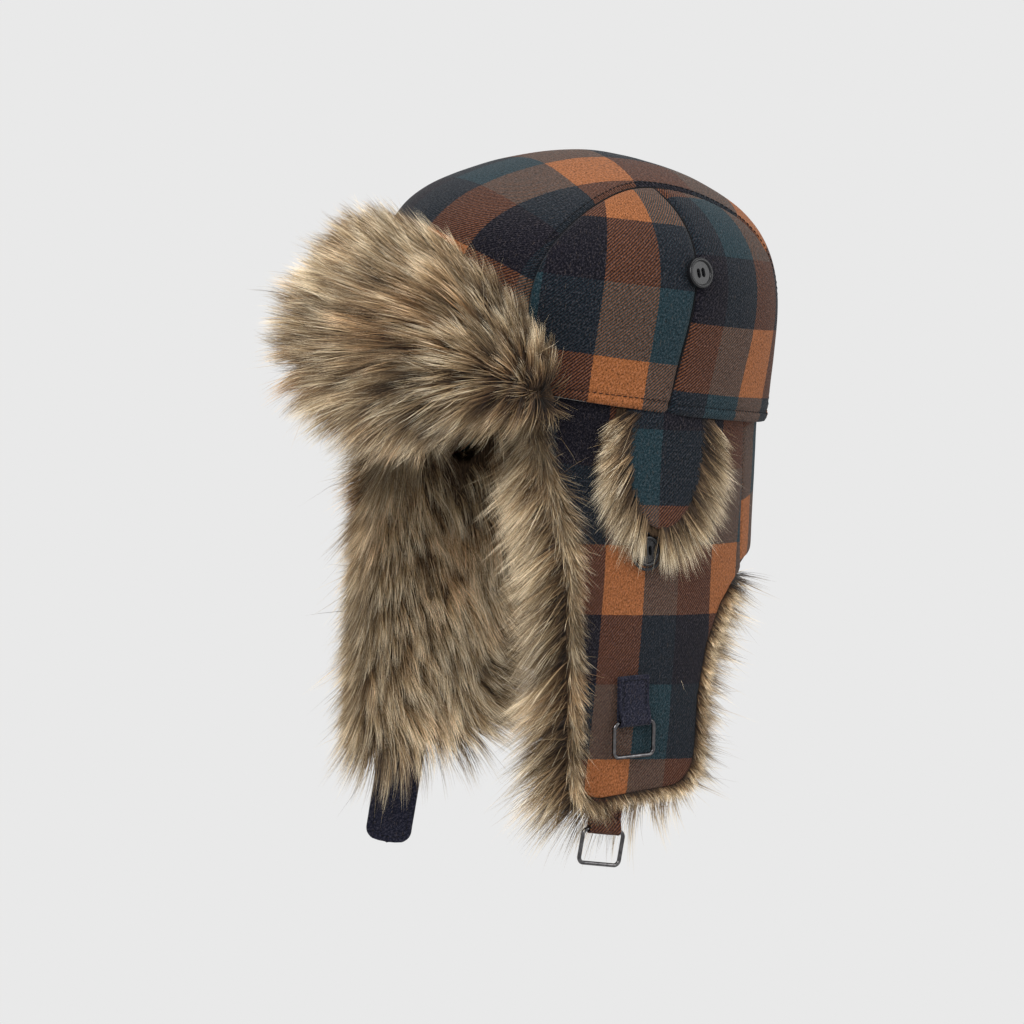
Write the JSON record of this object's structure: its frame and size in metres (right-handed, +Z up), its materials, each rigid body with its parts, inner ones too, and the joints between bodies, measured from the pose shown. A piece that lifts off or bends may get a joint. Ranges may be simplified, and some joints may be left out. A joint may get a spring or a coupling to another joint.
{
  "type": "trapper hat",
  "caption": "Plaid wool trapper hat with faux fur front, ear and neck flaps, buttoned ear covers, strap rings and a chin strap.",
  "frame": {"origin": "middle of the head opening, on the line where the crown's hem meets the flaps", "axes": "+Z up out of the crown, -Y to the wearer's front, +X to the wearer's left; the hem is 12.4 degrees lower at the nape than level"},
  "size_m": [0.1994, 0.2806, 0.3806],
  "materials": {
    "plaid_wool": "brushed wool twill woven in a navy, teal and rust check",
    "faux_fur": "long pile, dark brown roots and cream tips",
    "navy_wool": "brushed wool",
    "wadding": "loose polyester wadding",
    "lining": "quilted satin",
    "button_black": "gloss",
    "thread": "twisted sewing thread",
    "elastic": "covered round elastic",
    "ring_metal": "dark polished nickel",
    "hook_tape": "woven hook tape"
  },
  "bodies": {
    "crown": {"crown_center_panel": "plaid_wool", "crown_left_front_panel": "plaid_wool", "crown_left_rear_panel": "plaid_wool", "crown_right_front_panel": "plaid_wool", "crown_right_rear_panel": "plaid_wool", "crown_wadding": "wadding", "crown_lining": "lining", "crown_buttons": "button_black", "crown_button_threads": "thread"},
    "front_flap": {"front_flap_backing": "plaid_wool", "front_flap_fur": "faux_fur"},
    "neck_flap": {"neck_flap_shell": "plaid_wool", "neck_flap_fur": "faux_fur"},
    "ear_flap_left": {"ear_flap_left_shell": "plaid_wool", "ear_flap_left_fur": "faux_fur", "flap_button_left": "button_black", "flap_button_thread_left": "thread", "upper_ring_tab": "navy_wool", "end_ring_tab": "plaid_wool"},
    "ear_flap_right": {"ear_flap_right_shell": "plaid_wool", "ear_flap_right_fur": "faux_fur", "flap_button_right": "button_black", "flap_button_thread_right": "thread", "chin_strap_root": "navy_wool"},
    "ear_cover_left": {"ear_cover_left_shell": "plaid_wool", "ear_cover_left_fur": "faux_fur", "ear_cover_left_loop": "elastic"},
    "ear_cover_right": {"ear_cover_right_shell": "plaid_wool", "ear_cover_right_fur": "faux_fur", "ear_cover_right_loop": "elastic"},
    "upper_ring": {"upper_ring": "ring_metal"},
    "end_ring": {"end_ring": "ring_metal"},
    "chin_strap": {"chin_strap": "navy_wool", "strap_hook_patch": "hook_tape"}
  },
  "joints": [
    {"name": "front_flap_fold", "type": "hinge", "parent": "crown", "child": "front_flap", "pos_m": [0, -0.11, 0.0155], "axis": [1, 0, 0], "range_deg": [0, 85]},
    {"name": "neck_flap_fold", "type": "hinge", "parent": "crown", "child": "neck_flap", "pos_m": [0, 0.107, -0.02353], "axis": [1, 0, 0], "range_deg": [0, 110]},
    {"name": "ear_flap_left_fold", "type": "hinge", "parent": "crown", "child": "ear_flap_left", "pos_m": [0.093, 0, 0], "axis": [0, -0.9767, 0.2147], "range_deg": [0, 165]},
    {"name": "ear_flap_right_fold", "type": "hinge", "parent": "crown", "child": "ear_flap_right", "pos_m": [-0.093, 0, 0], "axis": [0, 0.9767, -0.2147], "range_deg": [0, 165]},
    {"name": "ear_cover_left_lift", "type": "hinge", "parent": "ear_flap_left", "child": "ear_cover_left", "pos_m": [0.093, 0, 0], "axis": [0, 0.9767, -0.2147], "range_deg": [-170, 0]},
    {"name": "ear_cover_right_lift", "type": "hinge", "parent": "ear_flap_right", "child": "ear_cover_right", "pos_m": [-0.093, 0, 0], "axis": [0, -0.9767, 0.2147], "range_deg": [-170, 0]},
    {"name": "upper_ring_swing", "type": "hinge", "parent": "ear_flap_left", "child": "upper_ring", "pos_m": [0.09487, -0.0434, -0.15585], "axis": [-0.0458, -0.9976, 0.0523], "range_deg": [0, 150]},
    {"name": "end_ring_swing", "type": "hinge", "parent": "ear_flap_left", "child": "end_ring", "pos_m": [0.09214, -0.06154, -0.21109], "axis": [-0.0908, -0.9726, 0.2138], "range_deg": [0, 120]},
    {"name": "chin_strap_swing", "type": "hinge", "parent": "ear_flap_right", "child": "chin_strap", "pos_m": [-0.09377, -0.04956, -0.22901], "axis": [0.5276, 0.8297, -0.1824], "range_deg": [-90, 90]}
  ]
}
